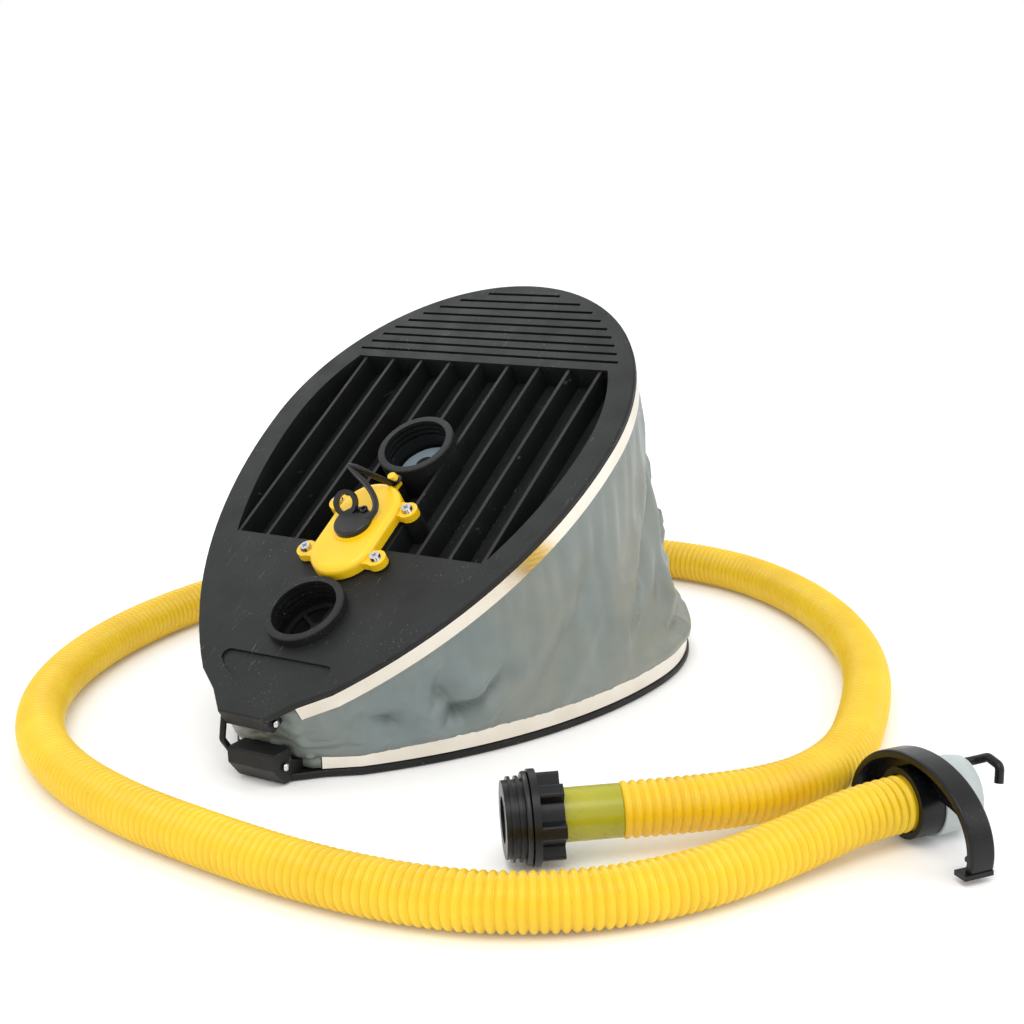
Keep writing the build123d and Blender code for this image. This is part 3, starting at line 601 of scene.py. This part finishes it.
def follow_hinge(sheet):
    """Bakes the sheet's placement into its points."""
    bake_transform(sheet)


# ---- strap, spring and pin ends ---------------------------------------------------------
SPRING_FOOT = Vector((71.0, 0.0, 3.5))
SPRING_HEAD = on_plate(213, 0, -15.5)


def tube(points, sides, section, first_side):
    """Points and faces of a solid strand whose section is (half width, half thickness) at each point."""
    rows = []
    for (centre, size), (tangent, side, up) in zip(zip(points, section), frames_along(points, first_side)):
        for step in range(sides):
            angle = 2 * pi * (step + 0.5) / sides
            flat_cos = abs(cos(angle)) ** 0.5 * (1 if cos(angle) > 0 else -1)
            flat_sin = abs(sin(angle)) ** 0.5 * (1 if sin(angle) > 0 else -1)
            rows.append(centre + side * (size[0] * flat_cos) + up * (size[1] * flat_sin))
    faces = grid_faces(len(points), sides, True)
    last = (len(points) - 1) * sides
    faces.append(tuple(range(sides - 1, -1, -1)))
    faces.append(tuple(last + step for step in range(sides)))
    return rows, faces


def make_strap(material):
    """Flat rubber strap from the plug's rim, up to a sharp fold and down to its ring round the peg."""
    way = [(112.5, -7.6, 10.6), (115.6, -9.6, 11.2), (119.8, -9.8, 12.6),
           (123.8, -7.2, 15.6), (126.7, -3.0, 19.4),
           (128.8, 2.2, 23.0), (130.9, 7.6, 26.2), (131.8, 7.4, 26.4), (132.6, 2.4, 23.2),
           (134.6, -1.4, 17.4),
           (137.6, -4.0, 11.4), (140.0, -5.2, 6.8), (141.8, -5.0, 5.2), (142.8, -4.9, 5.0)]
    line = spline_points("strap_line", [tuple(on_plate(*point) * MM) for point in way], 12)
    line, _ = resample(line, 110)
    section = []
    for share in np.linspace(0, 1, len(line)):
        fold = np.exp(-((share - 0.52) / 0.05) ** 2)
        section.append(((1.55 - 0.65 * fold) * MM, (0.62 + 0.1 * fold) * MM))
    points, faces = tube(line, 12, section, PLATE_Z * 0.8 + Vector((0.0, 0.6, 0.0)))
    peg_ring = ((144.0, -2.5, 5.0), 3.05, (0.95, 0.6))
    plug_ring = ((117.6, -3.2, 11.9), 1.5, (0.6, 0.9))
    for ring_place, ring_r, wire in (peg_ring, plug_ring):
        start = len(points)
        steps = 28
        for turn in range(steps):
            angle = 2 * pi * turn / steps
            for step in range(8):
                around = 2 * pi * step / 8
                reach = ring_r + wire[0] * cos(around)
                place = on_plate(ring_place[0] + reach * cos(angle), ring_place[1] + reach * sin(angle),
                                 ring_place[2] + wire[1] * sin(around))
                points.append(np.array(place) * MM)
        for turn in range(steps):
            for step in range(8):
                a, b = start + turn * 8, start + (turn + 1) % steps * 8
                after = (step + 1) % 8
                faces.append((a + step, b + step, b + after, a + after))
    return mesh_object("plug_strap", points, faces, material)


def make_spring(material):
    """Return spring: an open coil whose end turns lie flat in their two seats."""
    across = Vector((0, 1, 0))
    low, high = SPRING_FOOT + Vector((0, 0, 1.4)), SPRING_HEAD - PLATE_Z * 1.4
    axis = (high - low).normalized()
    points = []
    turns = 7.5
    for step in range(361):
        share = step / 360
        climb = min(1.0, max(0.0, (share - 0.12) / 0.76))
        third = Vector((-1, 0, 0)).lerp(-PLATE_X, climb).normalized()
        angle = 2 * pi * turns * share
        points.append((low.lerp(high, climb) + across * (20 * cos(angle)) + third * (20 * sin(angle))) * MM)
    points = np.array(points)
    rows, faces = tube(points, 10, [(1.2 * MM, 1.2 * MM)] * len(points), tuple(axis))
    return mesh_object("coil_spring", rows, faces, material)


def make_pin_ends(material):
    """Bright domed ends of the hinge wire on the right-hand side."""
    points, faces = [], []
    for centre in (Vector((PIN.x, -14.3, PIN.z)), on_plate(3.8, -14.5, -7.2)):
        start = len(points)
        profile = [(1.5, 0.0), (1.9, -0.15), (1.9, -0.5), (1.5, -0.95), (0.8, -1.2)]
        for radius, out in profile:
            for step in range(20):
                angle = 2 * pi * step / 20
                points.append((centre + Vector((radius * cos(angle), out, radius * sin(angle)))) * MM)
        faces += [tuple(start + index for index in face) for face in grid_faces(len(profile), 20, True)]
        faces.append(tuple(start + step for step in range(19, -1, -1)))
        faces.append(tuple(start + 80 + step for step in range(20)))
    return mesh_object("hinge_pin_ends", points, faces, material)


# ---- assembly -----------------------------------------------------------------------------
make_camera()
make_stage()

black = moulded_black("black_moulding", (16, 17, 17), 0.50, 0.9)
black_gloss = moulded_black("black_gloss_moulding", (11, 12, 13), 0.30, 0.3)
steel = steel_strip()
chrome = plain_metal("chrome_screw", (225, 226, 230), 0.06, 0.16)
spring_steel = plain_metal("spring_steel", (120, 122, 125), 0.28, 0.4)
black_steel = moulded_black("black_steel", (14, 15, 16), 0.36, 0.5)
vinyl = grey_vinyl()
yellow = soft_plastic("yellow_moulding", (238, 190, 14), (246, 206, 34), 0.26, 0.36, 0.05)
hose_yellow = soft_plastic("yellow_hose", (228, 184, 8), (240, 204, 26), 0.32, 0.44, 0.08)
cuff_green = soft_plastic("cuff_vinyl", (150, 150, 16), (176, 172, 38), 0.22, 0.34, 0.15)
grey_plastic = soft_plastic("grey_moulding", (168, 178, 178), (186, 194, 194), 0.4, 0.5, 0.02)
flap_grey = rubber("flap_rubber", (138, 154, 166), 0.35)
black_rubber = rubber("black_rubber", (10, 10, 11), 0.30)

strap = make_strap(black_rubber)
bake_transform(strap)
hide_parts("plug_tether")

spring = make_spring(spring_steel)
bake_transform(spring)
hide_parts("return_spring")

pins = make_pin_ends(chrome)
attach(pins, "foot_plate")

finishes = {
    "base_plate": black, "lower_hinge_block": black, "lower_band": steel, "return_spring": spring_steel,
    "foot_plate": black, "upper_hinge_block": black, "hinge_wire": black_steel, "upper_band": steel,
    "intake_flap": black_rubber, "intake_rivet": black, "outlet_flap": flap_grey, "outlet_rivet": black,
    "valve_cover": yellow, "cover_gasket": black_rubber, "cover_screws": chrome, "relief_plug": black_rubber,
    "plug_tether": black_rubber, "hose_cuff": cuff_green, "screw_connector": black_gloss,
    "connector_seal": black_rubber, "adapter_grip": black_gloss, "adapter_nozzle": grey_plastic,
    "adapter_hook": black_gloss,
}
for name, material in finishes.items():
    mesh = nodes[name].data
    mesh.materials.clear()
    mesh.materials.append(material)

hose, hose_path, hose_length = make_hose(hose_yellow)
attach(hose, "base")
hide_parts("hose")

bellows = make_bellows(vinyl)
follow_hinge(bellows)
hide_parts("bellows")
